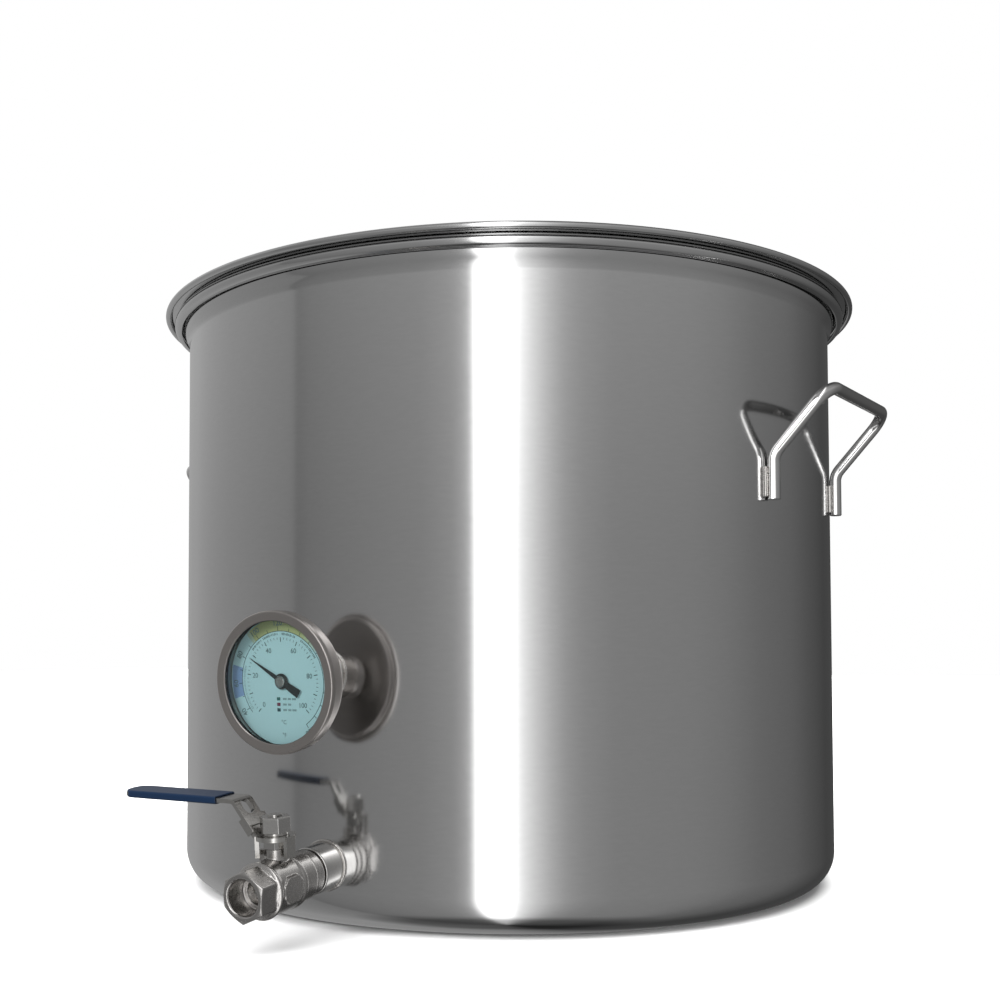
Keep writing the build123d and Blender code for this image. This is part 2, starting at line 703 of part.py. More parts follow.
with BuildPart() as glass_gasket:
    tube(gauge_along, gauge_axis, GLASS_BACK - 0.7, GLASS_BACK - 0.05, CASE_R - CASE_SHEET - 0.1,
         BEZEL_WINDOW_R + 0.2)
save(glass_gasket, "glass_gasket")

with BuildPart() as gauge_dial:
    tube(gauge_along, gauge_axis, DIAL_BACK, DIAL_BACK + DIAL_THICK, DIAL_R, SPINDLE_R + 0.6)
save(gauge_dial, "gauge_dial")

# Short tube that holds the dial off the case's back.
with BuildPart() as dial_post:
    tube(gauge_along, gauge_axis, CASE_BACK + CASE_SHEET + 0.05, DIAL_BACK - 0.05, 6.0, 4.6)
save(dial_post, "dial_post")

pointer_plane = Plane(
    origin=gauge_across.offset(POINTER_BACK).origin,
    x_dir=(cos(radians(POINTER_ANGLE)), -sin(DROOP) * sin(radians(POINTER_ANGLE)),
           cos(DROOP) * sin(radians(POINTER_ANGLE))),
    z_dir=gauge_axis.direction,
)
with BuildPart() as gauge_pointer:
    with BuildSketch(pointer_plane):
        with BuildLine():
            Polyline(
                (POINTER_LENGTH, 0),
                (8, 1.1),
                (0, 1.6),
                (-4, 1.9),
                (-8, 2.3),
                (-POINTER_TAIL, 2.5),
                (-POINTER_TAIL, -2.5),
                (-8, -2.3),
                (-4, -1.9),
                (0, -1.6),
                (8, -1.1),
                close=True,
            )
        make_face()
        Circle(4.6)
        Circle(SPINDLE_R + 0.02, mode=Mode.SUBTRACT)
    extrude(amount=POINTER_THICK)
save(gauge_pointer, "gauge_pointer")

with BuildPart() as pointer_hub:
    tube(gauge_along, gauge_axis, POINTER_BACK + POINTER_THICK + 0.02, POINTER_BACK + 2.4, 3.4,
         SPINDLE_R + 0.02, edge=0.6)
save(pointer_hub, "pointer_hub")

with BuildPart() as gauge_spindle:
    with BuildSketch(gauge_across.offset(PROBE_TIP + 8)):
        Circle(SPINDLE_R)
    extrude(amount=POINTER_BACK + 2.2 - PROBE_TIP - 8)
save(gauge_spindle, "gauge_spindle")

with BuildPart() as probe_tube:
    probe_outline = [
        (PROBE_TIP + 1.2, 0),
        (PROBE_TIP + 1.2, PROBE_R - PROBE_WALL),
        (CASE_BACK + 1.5, PROBE_R - PROBE_WALL),
        (CASE_BACK + 1.5, PROBE_R),
        (PROBE_TIP + 1.2, PROBE_R),
        (PROBE_TIP, PROBE_R - 1.2),
        (PROBE_TIP, 0),
    ]
    turn(gauge_along, gauge_axis, probe_outline)
save(probe_tube, "probe_tube")

# Bimetal strip wound as a helix near the tip of the probe.
with BuildPart() as bimetal_coil:
    with BuildLine() as coil_line:
        Helix(
            COIL_PITCH,
            COIL_PITCH * COIL_TURNS,
            COIL_R,
            center=gauge_across.offset(PROBE_TIP + 12).origin,
            direction=gauge_axis.direction,
        )
    with BuildSketch(Plane(origin=coil_line.line @ 0, z_dir=coil_line.line % 0)):
        Circle(COIL_WIRE_R)
    sweep(is_frenet=True)
save(bimetal_coil, "bimetal_coil")
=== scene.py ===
import json
import random
from math import asin, ceil, cos, degrees, pi, radians, sin, sqrt, tan

import bmesh
import bpy
from mathutils import Matrix, Vector

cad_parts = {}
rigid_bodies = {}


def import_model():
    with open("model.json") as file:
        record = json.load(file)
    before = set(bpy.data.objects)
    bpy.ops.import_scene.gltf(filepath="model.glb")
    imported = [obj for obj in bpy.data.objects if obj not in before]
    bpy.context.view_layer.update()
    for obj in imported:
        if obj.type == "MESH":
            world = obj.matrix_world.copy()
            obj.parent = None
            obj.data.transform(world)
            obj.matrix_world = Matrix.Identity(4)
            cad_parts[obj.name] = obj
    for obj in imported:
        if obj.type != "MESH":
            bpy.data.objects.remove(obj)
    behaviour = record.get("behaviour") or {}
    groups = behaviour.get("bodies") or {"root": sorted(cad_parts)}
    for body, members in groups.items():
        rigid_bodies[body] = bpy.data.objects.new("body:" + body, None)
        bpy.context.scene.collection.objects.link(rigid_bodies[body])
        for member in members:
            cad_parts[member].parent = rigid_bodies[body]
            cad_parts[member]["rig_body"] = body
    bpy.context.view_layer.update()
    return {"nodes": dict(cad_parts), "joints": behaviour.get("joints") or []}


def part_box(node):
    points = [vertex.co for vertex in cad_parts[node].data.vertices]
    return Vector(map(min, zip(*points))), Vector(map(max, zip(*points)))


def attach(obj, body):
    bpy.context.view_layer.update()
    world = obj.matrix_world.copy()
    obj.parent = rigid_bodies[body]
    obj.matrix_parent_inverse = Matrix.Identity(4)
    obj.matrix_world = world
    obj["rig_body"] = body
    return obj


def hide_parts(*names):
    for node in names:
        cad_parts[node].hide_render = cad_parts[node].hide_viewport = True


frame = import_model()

# A lidded stainless brew kettle with a ball valve and a dial thermometer.
# Metres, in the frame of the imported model: +Z up, the valve and the dial point to -Y.
nodes = frame["nodes"]
joints = {joint["name"]: joint for joint in frame["joints"]}
MM = 0.001

# ---------------------------------------------------------------- places taken from the frame
OUT = Vector(joints["pointer_turn"]["axis"])          # along both wall fittings, away from the pot
UP = Vector(joints["lever_turn"]["axis"])             # along the valve's stem
SIDE = Vector((1, 0, 0))
STEM_BASE = Vector(joints["lever_turn"]["pos_m"])     # where the stem's axis meets the valve's axis
DIAL_MIDDLE = Vector(joints["pointer_turn"]["pos_m"])
STEM_AT = 46 * MM          # distance from the wall to the stem's axis
DIAL_AT = 43 * MM          # distance from the wall to the pointer

BEAD_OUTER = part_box("kettle_rim")[1].x
POT_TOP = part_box("kettle_rim")[1].z
LID_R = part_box("lid_rim")[1].x
LID_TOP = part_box("lid_rim")[1].z

# ---------------------------------------------------------------- pot and lid
WALL_R = 242 * MM
SHEET = 1.2 * MM
KNUCKLE_R = 24 * MM
BEAD_HALF = 4 * MM
FLARE_H = 14 * MM
LID_SHEET = 0.9 * MM
LID_GAP = 0.3 * MM
LID_EDGE_HALF = 2.1 * MM
LID_PLUG_R = 238.6 * MM
LID_FLOOR = 405 * MM
LID_CROWN = 411 * MM
LID_CROWN_R = 200 * MM

ROD_R = 4 * MM
HANDLES = {"right": (84.3, 0.0), "left": (-90.2, 8 * MM)}      # azimuth, drop
LEG_SPREAD = 14.1
LEG_AXIS_R = WALL_R + ROD_R + 0.6 * MM
LEG_FOOT = 262.6 * MM
LEG_BEND = 291.5 * MM
GRIP_OUT = 275 * MM
GRIP_HALF = 60 * MM
GRIP_UP = 331 * MM
LEG_BEND_R = 12 * MM
GRIP_BEND_R = 14 * MM
WELD_R = 1.7 * MM
WELD_ASIDE = 4.45 * MM
WELD_LENGTH = 20 * MM
WELD_SHARP = 80              # degrees, so that ripples stay smooth
LID_GRIP_HALF = 55 * MM
LID_GRIP_UP = 38 * MM
LID_FOOT_HALF = 42 * MM
LID_GRIP_BEND = 11 * MM

COUPLING_R = 14.3 * MM
COUPLING_WELD_R = 1.2 * MM
LID_WELD_R = 1.3 * MM

# ---------------------------------------------------------------- camera
CAMERA_AZIMUTH = 27.0      # degrees round from the front towards +X
CAMERA_DISTANCE = 959 * MM
CAMERA_HEIGHT = 171.9 * MM
CAMERA_YAW = -2.307        # degrees to the right of the pot's axis
CAMERA_PITCH = 2.149
CAMERA_ROLL = -0.116
CAMERA_LENS = 44.3
CAMERA_SHIFT = (0.0432, 0.0984)


# ================================================================ shapes
def round_angles(count):
    """Evenly spaced angles round a full turn."""
    return [2 * pi * k / count for k in range(count)]


def rounded(corners, closed=False, step=radians(7)):
    """Points along a path of corners, each a place and a bend radius, with arcs at the bends."""
    points = []
    for i, (*place, radius) in enumerate(corners):
        here = Vector(place)
        if radius == 0 or (not closed and i in (0, len(corners) - 1)):
            points.append(here)
            continue
        before = Vector(corners[i - 1][:-1])
        after = Vector(corners[(i + 1) % len(corners)][:-1])
        arriving = (here - before).normalized()
        leaving = (after - here).normalized()
        bend = arriving.angle(leaving)
        inwards = (leaving - arriving * leaving.dot(arriving)).normalized()
        start = here - arriving * radius * tan(bend / 2)
        steps = max(2, ceil(bend / step))
        for k in range(steps + 1):
            a = bend * k / steps
            points.append(start + arriving * radius * sin(a) + inwards * radius * (1 - cos(a)))
    return points


def arc(centre, radius, start, sweep, steps):
    """Points of an arc in the plane, from a start angle through a sweep, in degrees."""
    angles = [radians(start + sweep * k / steps) for k in range(steps + 1)]
    return [Vector((centre[0] + radius * cos(a), centre[1] + radius * sin(a))) for a in angles]


def sheet_outline(line, thickness):
    """Closed outline of a sheet that follows a middle line."""
    left, right = [], []
    for i, point in enumerate(line):
        ahead = line[min(i + 1, len(line) - 1)] - line[max(i - 1, 0)]
        side = Vector((-ahead.y, ahead.x)).normalized() * thickness / 2
        left.append(point + side)
        right.append(point - side)
    return left + right[::-1]


def skin(loops, wrap=False, caps=False):
    """Vertices and faces of a row of rings, joined one to the next."""
    count = len(loops[0])
    faces = []
    for i in range(len(loops) if wrap else len(loops) - 1):
        a = i * count
        b = (i + 1) % len(loops) * count
        for k in range(count):
            m = (k + 1) % count
            faces.append((a + k, a + m, b + m, b + k))
    if caps:
        faces.append(tuple(range(count))[::-1])
        faces.append(tuple(range((len(loops) - 1) * count, len(loops) * count)))
    return [point for loop in loops for point in loop], faces


def frame_at(origin, across, upwards, along):
    """Matrix that puts local x, y and z along three directions."""
    return Matrix.Translation(origin) @ Matrix((across, upwards, along)).transposed().to_4x4()


def turned(outline, segments, place=Matrix.Identity(4)):
    """Vertices and faces of an outline of (radius, distance along the axis) points, revolved."""
    loops = []
    for point in outline:
        loops.append([place @ Vector((point[0] * cos(a), point[0] * sin(a), point[1]))
                      for a in round_angles(segments)])
    return skin(loops, wrap=True)


def swept(path, radius_at, sides=32, closed=False):
    """Vertices and faces of a round bar along a path. radius_at gives its radius at each point."""
    loops = []
    normal = None
    for i, point in enumerate(path):
        if closed:
            ahead = path[(i + 1) % len(path)] - path[i - 1]
        else:
            ahead = path[min(i + 1, len(path) - 1)] - path[max(i - 1, 0)]
        ahead.normalize()
        if normal is None:
            normal = ahead.orthogonal().normalized()
        normal = (normal - ahead * normal.dot(ahead)).normalized()
        other = ahead.cross(normal)
        loops.append([point + (normal * cos(a) + other * sin(a)) * radius_at(i)
                      for a in round_angles(sides)])
    return skin(loops, wrap=closed, caps=not closed)


def joined(*shapes):
    """Several lists of vertices and faces as one."""
    vertices, faces = [], []
    for some_vertices, some_faces in shapes:
        start = len(vertices)
        vertices += some_vertices
        faces += [tuple(start + i for i in face) for face in some_faces]
    return vertices, faces


def smooth(mesh, angle=35.0):
    """Smooth shading that keeps edges sharper than an angle, in degrees."""
    mesh.polygons.foreach_set("use_smooth", [True] * len(mesh.polygons))
    mesh.set_sharp_from_angle(angle=radians(angle))


def weighted(obj):
    """Makes large flat faces set the shading of their corners."""
    modifier = obj.modifiers.new("even_shading", "WEIGHTED_NORMAL")
    modifier.keep_sharp = True
    return obj


def piece(name, shape, finish, body, slot, *replaced, angle=35.0):
    """A new mesh piece that rides on a body and stands for CAD nodes."""
    mesh = bpy.data.meshes.new(name)
    build = bmesh.new()
    corners = [build.verts.new(point) for point in shape[0]]
    for face in shape[1]:
        build.faces.new([corners[i] for i in face])
    bmesh.ops.remove_doubles(build, verts=build.verts, dist=1e-7)
    bmesh.ops.recalc_face_normals(build, faces=build.faces)
    build.to_mesh(mesh)
    build.free()
    mesh.materials.append(finish)
    smooth(mesh, angle)
    obj = bpy.data.objects.new(name, mesh)
    bpy.context.scene.collection.objects.link(obj)
    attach(obj, body)
    if replaced:
        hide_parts(*replaced)
    return obj


def cad_shape(node, merge_flats):
    """Vertices and faces of a CAD node, with its triangles merged back into whole flats."""
    build = bmesh.new()
    build.from_mesh(nodes[node].data)
    bmesh.ops.remove_doubles(build, verts=build.verts, dist=2e-6)
    if merge_flats:
        bmesh.ops.dissolve_limit(
            build, angle_limit=radians(0.6), verts=build.verts, edges=build.edges
        )
    build.verts.ensure_lookup_table()
    shape = [v.co.copy() for v in build.verts], [tuple(v.index for v in f.verts) for f in build.faces]
    build.free()
    return shape


def eased(node, edge, finish, body, slot):
    """A CAD node with its sharp edges eased by a small rounding."""
    obj = piece(node + "_eased", cad_shape(node, True), finish, body, slot, node)
    bevel = obj.modifiers.new("eased_edges", "BEVEL")
    bevel.width = edge
    bevel.segments = 3
    bevel.limit_method = "ANGLE"
    bevel.angle_limit = radians(32)
    bevel.use_clamp_overlap = True
    bevel.harden_normals = False
    return weighted(obj)


def cast(node, voxel, passes, finish, body, slot):
    """A CAD node as an investment casting, with every edge and corner softened."""
    obj = piece(node + "_cast", cad_shape(node, False), finish, body, slot, node)
    remesh = obj.modifiers.new("fine_grid", "REMESH")
    remesh.mode = "VOXEL"
    remesh.voxel_size = voxel
    remesh.use_smooth_shade = True
    soften = obj.modifiers.new("softened", "SMOOTH")
    soften.factor = 0.5
    soften.iterations = passes
    return obj


# ================================================================ finishes
def link_value(tree, source, scale_low, scale_high, socket):
    """Feeds a 0 to 1 texture to a socket between two values."""
    spread = tree.nodes.new("ShaderNodeMapRange")
    spread.inputs["To Min"].default_value = scale_low
    spread.inputs["To Max"].default_value = scale_high
    tree.links.new(source, spread.inputs["Value"])
    tree.links.new(spread.outputs["Result"], socket)


def operation(tree, kind, *values):
    """The result of a math node over sockets or plain numbers."""
    node = tree.nodes.new("ShaderNodeMath")
    node.operation = kind
    for socket, value in zip(node.inputs, values):
        if isinstance(value, bpy.types.NodeSocket):
            tree.links.new(value, socket)
        else:
            socket.default_value = value
    return node.outputs["Value"]


def between(tree, factor, tone, spread):
    """A colour that strays from a tone by a share of it, up and down, with a factor."""
    blend = tree.nodes.new("ShaderNodeMix")
    blend.data_type = "RGBA"
    blend.inputs["A"].default_value = (*[max(0.0, c * (1 - spread)) for c in tone], 1)
    blend.inputs["B"].default_value = (*[min(1.0, c * (1 + spread)) for c in tone], 1)
    tree.links.new(factor, blend.inputs["Factor"])
    return blend.outputs["Result"]


def roughened(tree, height, shader, distance):
    """Feeds a height to a shader's normal as a relief of a depth in metres."""
    bump = tree.nodes.new("ShaderNodeBump")
    bump.inputs["Distance"].default_value = distance
    tree.links.new(height, bump.inputs["Height"])
    tree.links.new(bump.outputs["Normal"], shader.inputs["Normal"])


def noise(tree, vector, scale, detail=2.0, stretch=(1, 1, 1)):
    """Noise in object space, in lumps of about 1 / scale metres."""
    mapping = tree.nodes.new("ShaderNodeMapping")
    mapping.inputs["Scale"].default_value = stretch
    tree.links.new(vector, mapping.inputs["Vector"])
    texture = tree.nodes.new("ShaderNodeTexNoise")
    texture.inputs["Scale"].default_value = scale
    texture.inputs["Detail"].default_value = detail
    tree.links.new(mapping.outputs["Vector"], texture.inputs["Vector"])
    return texture.outputs["Fac"]


def cylinder_vector(tree, vector):
    """Distance round the pot, distance from its axis and height, so that grain runs round it."""
    split = tree.nodes.new("ShaderNodeSeparateXYZ")
    tree.links.new(vector, split.inputs["Vector"])
    angle = operation(tree, "ARCTAN2", split.outputs["X"], split.outputs["Y"])
    arc_length = operation(tree, "MULTIPLY", angle, WALL_R)
    radius = tree.nodes.new("ShaderNodeVectorMath")
    radius.operation = "LENGTH"
    flat = tree.nodes.new("ShaderNodeCombineXYZ")
    tree.links.new(split.outputs["X"], flat.inputs["X"])
    tree.links.new(split.outputs["Y"], flat.inputs["Y"])
    tree.links.new(flat.outputs["Vector"], radius.inputs[0])
    joined_up = tree.nodes.new("ShaderNodeCombineXYZ")
    tree.links.new(arc_length, joined_up.inputs["X"])
    tree.links.new(radius.outputs["Value"], joined_up.inputs["Y"])
    tree.links.new(split.outputs["Z"], joined_up.inputs["Z"])
    return joined_up.outputs["Vector"]


def material(name):
    """An empty principled material: its tree, its shader and its object coordinates."""
    made = bpy.data.materials.new(name)
    made.use_nodes = True
    tree = made.node_tree
    shader = tree.nodes["Principled BSDF"]
    coordinates = tree.nodes.new("ShaderNodeTexCoord")
    return made, tree, shader, coordinates.outputs["Object"]


GRAIN_SHARE = 0.5            # of the grain in a metal's gloss, against its clouds
CLOUD_SCALE = 22.0
ROLLED = (0.25, 1, 1)         # grain drawn out round the pot
SKIN_SCALE, SKIN_CLOUDS = 1400.0, 60.0
SKIN_TINT, SKIN_GLOSS = 0.08, 0.06


def metal(name, tone, rough, grain, relief, tint_spread=0.05, grain_scale=900.0,
          stretch=(1, 1, 1), round_pot=False):
    """Stainless steel: a tone with fine grain, cloudy gloss and a slight relief."""
    made, tree, shader, place = material(name)
    if round_pot:
        place = cylinder_vector(tree, place)
    fine = noise(tree, place, grain_scale, 2.0, stretch)
    cloudy = noise(tree, place, CLOUD_SCALE, 3.0)
    shader.inputs["Metallic"].default_value = 1.0
    tree.links.new(between(tree, fine, tone, tint_spread), shader.inputs["Base Color"])
    mixed = operation(tree, "ADD", cloudy, operation(tree, "MULTIPLY", fine, GRAIN_SHARE))
    link_value(tree, mixed, rough - grain, rough + grain, shader.inputs["Roughness"])
    roughened(tree, fine, shader, relief)
    return made


def plastic(name, tone, rough, relief, coat=0.0):
    """Moulded plastic or rubber with a fine skin texture."""
    made, tree, shader, place = material(name)
    fine = noise(tree, place, SKIN_SCALE, 3.0)
    cloudy = noise(tree, place, SKIN_CLOUDS, 2.0)
    tree.links.new(between(tree, cloudy, tone, SKIN_TINT), shader.inputs["Base Color"])
    link_value(tree, fine, rough - SKIN_GLOSS, rough + SKIN_GLOSS, shader.inputs["Roughness"])
    shader.inputs["Coat Weight"].default_value = coat
    roughened(tree, fine, shader, relief)
    return made


def window_glass(name):
    """A flat window: see-through, with the reflection that glass has."""
    made = bpy.data.materials.new(name)
    made.use_nodes = True
    tree = made.node_tree
    tree.nodes.remove(tree.nodes["Principled BSDF"])
    clear = tree.nodes.new("ShaderNodeBsdfTransparent")
    clear.inputs["Color"].default_value = (0.97, 0.99, 0.985, 1)
    shine = tree.nodes.new("ShaderNodeBsdfGlossy")
    shine.inputs["Roughness"].default_value = 0.02
    fresnel = tree.nodes.new("ShaderNodeFresnel")
    fresnel.inputs["IOR"].default_value = 1.45
    mix = tree.nodes.new("ShaderNodeMixShader")
    tree.links.new(fresnel.outputs["Fac"], mix.inputs["Fac"])
    tree.links.new(clear.outputs["BSDF"], mix.inputs[1])
    tree.links.new(shine.outputs["BSDF"], mix.inputs[2])
    tree.links.new(mix.outputs["Shader"], tree.nodes["Material Output"].inputs["Surface"])
    return made


def printed_face(name):
    """The dial's paint: its colours come with the mesh, under a fine lacquer."""
    made, tree, shader, place = material(name)
    colour = tree.nodes.new("ShaderNodeAttribute")
    colour.attribute_name = "print"
    fine = noise(tree, place, 2500.0, 2.0)
    tint = tree.nodes.new("ShaderNodeMix")
    tint.data_type = "RGBA"
    tint.blend_type = "MULTIPLY"
    tint.inputs["Factor"].default_value = 0.06
    tree.links.new(colour.outputs["Color"], tint.inputs["A"])
    tree.links.new(fine, tint.inputs["B"])
    tree.links.new(tint.outputs["Result"], shader.inputs["Base Color"])
    link_value(tree, fine, 0.38, 0.5, shader.inputs["Roughness"])
    return made


finish = {
    "pot_steel": metal("pot_steel_satin", (0.62, 0.62, 0.62), 0.10, 0.02, 1.5e-6, 0.03, 700.0,
                       ROLLED, round_pot=True),
    "lid_steel": metal("lid_steel_satin", (0.62, 0.62, 0.62), 0.12, 0.03, 1.5e-6, 0.04, 700.0,
                       ROLLED, round_pot=True),
    "rod_steel": metal("rod_steel_polished", (0.64, 0.635, 0.63), 0.10, 0.02, 1e-6),
    "weld_steel": metal("weld_steel_bright", (0.58, 0.56, 0.54), 0.22, 0.08, 1.2e-5, 0.12),
    "cast_steel": metal("cast_steel_tumbled", (0.52, 0.505, 0.49), 0.24, 0.05, 9e-6, 0.10, 1500.0),
    "machined_steel": metal("machined_steel_bright", (0.60, 0.59, 0.575), 0.16, 0.04, 3e-6, 0.08),
    "gauge_steel": metal("gauge_steel_satin", (0.50, 0.47, 0.45), 0.27, 0.04, 4e-6, 0.06, 1200.0),
    "lever_steel": metal("lever_steel_pressed", (0.56, 0.55, 0.53), 0.20, 0.05, 4e-6, 0.10),
    "blue_vinyl": plastic("blue_vinyl_dipped", (0.003, 0.020, 0.060), 0.44, 2.5e-5),
    "ptfe": plastic("ptfe_white", (0.82, 0.82, 0.80), 0.5, 4e-6),
    "rubber": plastic("rubber_black", (0.02, 0.02, 0.02), 0.6, 8e-6),
    "glass": window_glass("window_glass"),
    "dial_paint": printed_face("dial_paint_printed"),
    "pointer_black": plastic("pointer_enamel", (0.006, 0.014, 0.016), 0.35, 3e-6, coat=0.3),
    "bimetal": metal("bimetal_brass", (0.62, 0.50, 0.32), 0.3, 0.05, 3e-6),
}
for node in nodes.values():
    for slot in node.material_slots:
        slot.material = finish[slot.material.name]


# ================================================================ the pot
half_sheet = SHEET / 2
bead_mid = BEAD_HALF - half_sheet
bead_r = BEAD_OUTER - BEAD_HALF
bead_z = POT_TOP - BEAD_HALF
wall_mid = WALL_R - half_sheet
rim_mid = bead_r - bead_mid
flare_top = bead_z - 1 * MM
flare_start = flare_top - FLARE_H


def wall_step():
    """The wall's gentle step out to the rim, as two equal arcs."""
    run, rise = rim_mid - wall_mid, flare_top - flare_start
    radius = (run * run + rise * rise) / (4 * run)
    turn = degrees(asin(rise / 2 / radius))
    lower = arc((wall_mid + radius, flare_start), radius, 180, -turn, 8)
    upper = arc((rim_mid - radius, flare_top), radius, -turn, turn, 8)
    return lower + upper[1:]


def pot_line():
    """Middle line of the pot's sheet, from the centre of the base to the end of the rolled rim."""
    line = [Vector((r * (WALL_R - KNUCKLE_R) / 8, half_sheet)) for r in range(8)]
    line += arc((WALL_R - KNUCKLE_R, KNUCKLE_R), KNUCKLE_R - half_sheet, -90, 90, 24)
    rows = 12
    line += [Vector((wall_mid, KNUCKLE_R + (flare_start - KNUCKLE_R) * k / rows))
             for k in range(1, rows)]
    line += wall_step()
    line += arc((bead_r, bead_z), bead_mid, 180, -285, 40)
    return line


shell = piece("kettle_shell_turned", turned(sheet_outline(pot_line(), SHEET), 384),
              finish["pot_steel"], "kettle", "pot_steel",
              "kettle_shell", "kettle_rim")
weighted(shell)

# ================================================================ the lid
half_lid = LID_SHEET / 2
flange_z = POT_TOP + LID_GAP + half_lid
edge_mid = LID_EDGE_HALF - half_lid
edge_r = LID_R - LID_EDGE_HALF
edge_z = LID_TOP - LID_EDGE_HALF
plug_mid = LID_PLUG_R - half_lid


def lid_line():
    """Middle line of the lid's sheet, from its centre to the end of its rolled edge."""
    drop = LID_CROWN - LID_FLOOR
    crown_r = (LID_CROWN_R ** 2 + drop ** 2) / (2 * drop)
    reach = degrees(asin(LID_CROWN_R / crown_r))
    line = arc((0, LID_CROWN - crown_r), crown_r, 90, -reach, 24)
    line += rounded([
        (LID_CROWN_R + 0.5 * MM, LID_FLOOR, 0),
        (plug_mid, LID_FLOOR, 2.5 * MM),
        (plug_mid, flange_z, 2.5 * MM),
        (bead_r + 1 * MM, flange_z, 4 * MM),
        (edge_r, edge_z + edge_mid, 0),
    ])
    line += arc((edge_r, edge_z), edge_mid, 90, -250, 30)[1:]
    return line


lid = piece("lid_pan_turned", turned(sheet_outline(lid_line(), LID_SHEET), 384),
            finish["lid_steel"], "lid", "lid_steel", "lid_pan", "lid_rim")
weighted(lid)


# ================================================================ rods and welds
def bar(name, corners, chamfer, body, node):
    """A bent round rod with eased ends, from corners of (x, y, z, bend radius)."""
    path = rounded(corners, step=radians(4))
    first = (path[1] - path[0]).normalized() * chamfer
    last = (path[-2] - path[-1]).normalized() * chamfer
    path = [path[0], path[0] + first, *path[1:-1], path[-1] + last, path[-1]]

    def radius_at(i):
        return ROD_R - chamfer if i in (0, len(path) - 1) else ROD_R

    made = piece(name, swept(path, radius_at, 40), finish["rod_steel"], body, "rod_steel", node)
    return weighted(made)


def handle_corners(azimuth, drop):
    """Corners of a side handle's rod, foot to foot."""
    a = radians(azimuth)
    out = Vector((sin(a), -cos(a), 0))
    along = Vector((cos(a), sin(a), 0))
    leg_out = LEG_AXIS_R * cos(radians(LEG_SPREAD))
    leg_along = LEG_AXIS_R * sin(radians(LEG_SPREAD))
    corners = []
    for o, s, z, bend in (
        (leg_out, -leg_along, LEG_FOOT, 0),
        (leg_out, -leg_along, LEG_BEND, LEG_BEND_R),
        (GRIP_OUT, -GRIP_HALF, GRIP_UP, GRIP_BEND_R),
        (GRIP_OUT, GRIP_HALF, GRIP_UP, GRIP_BEND_R),
        (leg_out, leg_along, LEG_BEND, LEG_BEND_R),
        (leg_out, leg_along, LEG_FOOT, 0),
    ):
        corners.append((*(out * o + along * s + Vector((0, 0, z - drop))), bend))
    return corners


handles = []
for side_name, (azimuth, drop) in HANDLES.items():
    handles.append(bar(f"side_handle_{side_name}_rod", handle_corners(azimuth, drop), 0.5 * MM,
                       "kettle", f"side_handle_{side_name}"))

lid_foot_z = LID_CROWN + half_lid
bar("lid_handle_rod", [
    (-LID_FOOT_HALF, 0, lid_foot_z, 0),
    (-LID_GRIP_HALF, 0, lid_foot_z + LID_GRIP_UP, LID_GRIP_BEND),
    (LID_GRIP_HALF, 0, lid_foot_z + LID_GRIP_UP, LID_GRIP_BEND),
    (LID_FOOT_HALF, 0, lid_foot_z, 0),
], 0.1 * MM, "lid", "lid_handle")


def ripple(radius, pitch_points, seed):
    """Radius of a weld bead, which swells and shrinks a little from ripple to ripple."""
    source = random.Random(seed)
    wobble = [source.uniform(-0.06, 0.06) for _ in range(400)]

    def radius_at(i):
        return radius * (0.93 + 0.07 * abs(sin(pi * i / pitch_points)) + wobble[i // pitch_points])

    return radius_at


def straight_bead(foot, length, radius, seed):
    """An upright weld bead with ripples and rounded ends."""
    steps = 80
    body_radius = ripple(radius, 5, seed)
    path = [foot + Vector((0, 0, length * k / steps)) for k in range(steps + 1)]

    def radius_at(i):
        end = min(i, steps - i) / 5
        return body_radius(i) * (sqrt(max(0.0, 1 - (1 - end) ** 2)) if end < 1 else 1.0) + 1e-5

    return swept(path, radius_at, 20)


weld_turn = degrees(asin(WELD_ASIDE / WALL_R))
beads = []
for azimuth, drop in HANDLES.values():
    for leg in (-LEG_SPREAD, LEG_SPREAD):
        for side in (-weld_turn, weld_turn):
            a = radians(azimuth + leg + side)
            reach = WALL_R + 1 * MM
            foot = Vector((reach * sin(a), -reach * cos(a), LEG_FOOT + 1.5 * MM - drop))
            beads.append(straight_bead(foot, WELD_LENGTH, WELD_R, len(beads)))
piece("handle_weld_beads", joined(*beads), finish["weld_steel"],
      "kettle", "weld_steel", "handle_welds", angle=WELD_SHARP)

beads = []
for side in (-1, 1):
    ring = []
    for a in round_angles(120):
        ring.append(Vector((side * (LID_FOOT_HALF + 0.6 * MM) + (ROD_R + 1 * MM) * cos(a),
                            (ROD_R + 0.9 * MM) * sin(a), lid_foot_z + 0.2 * MM)))
    beads.append(swept(ring, ripple(LID_WELD_R, 5, 40 + side), 16, closed=True))
piece("lid_handle_weld_beads", joined(*beads), finish["weld_steel"],
      "lid", "weld_steel", "lid_handle_welds", angle=WELD_SHARP)

# ================================================================ wall couplings
valve_frame = frame_at(STEM_BASE - OUT * STEM_AT, SIDE, UP, OUT)
gauge_frame = frame_at(DIAL_MIDDLE - OUT * DIAL_AT, SIDE, UP, OUT)


def on_wall(place, across, upwards):
    """The point of the pot's wall that a line along a fitting meets."""
    start = place @ Vector((across, upwards, 0))
    flat_out = Vector((OUT.x, OUT.y, 0))
    a = flat_out.dot(flat_out)
    b = start.xy.to_3d().dot(flat_out)
    c = start.x ** 2 + start.y ** 2 - WALL_R ** 2
    return start + OUT * (-b + sqrt(b * b - a * c)) / a


def revolved(name, corners, finish_name, body, node, place, segments=128):
    """A turned piece from outline corners of (distance along, radius, corner radius) in mm."""
    outline = rounded([(r * MM, s * MM, e * MM) for s, r, e in corners], closed=True,
                      step=radians(15))
    made = piece(name, turned(outline, segments, place), finish[finish_name], body, finish_name, node)
    return weighted(made)


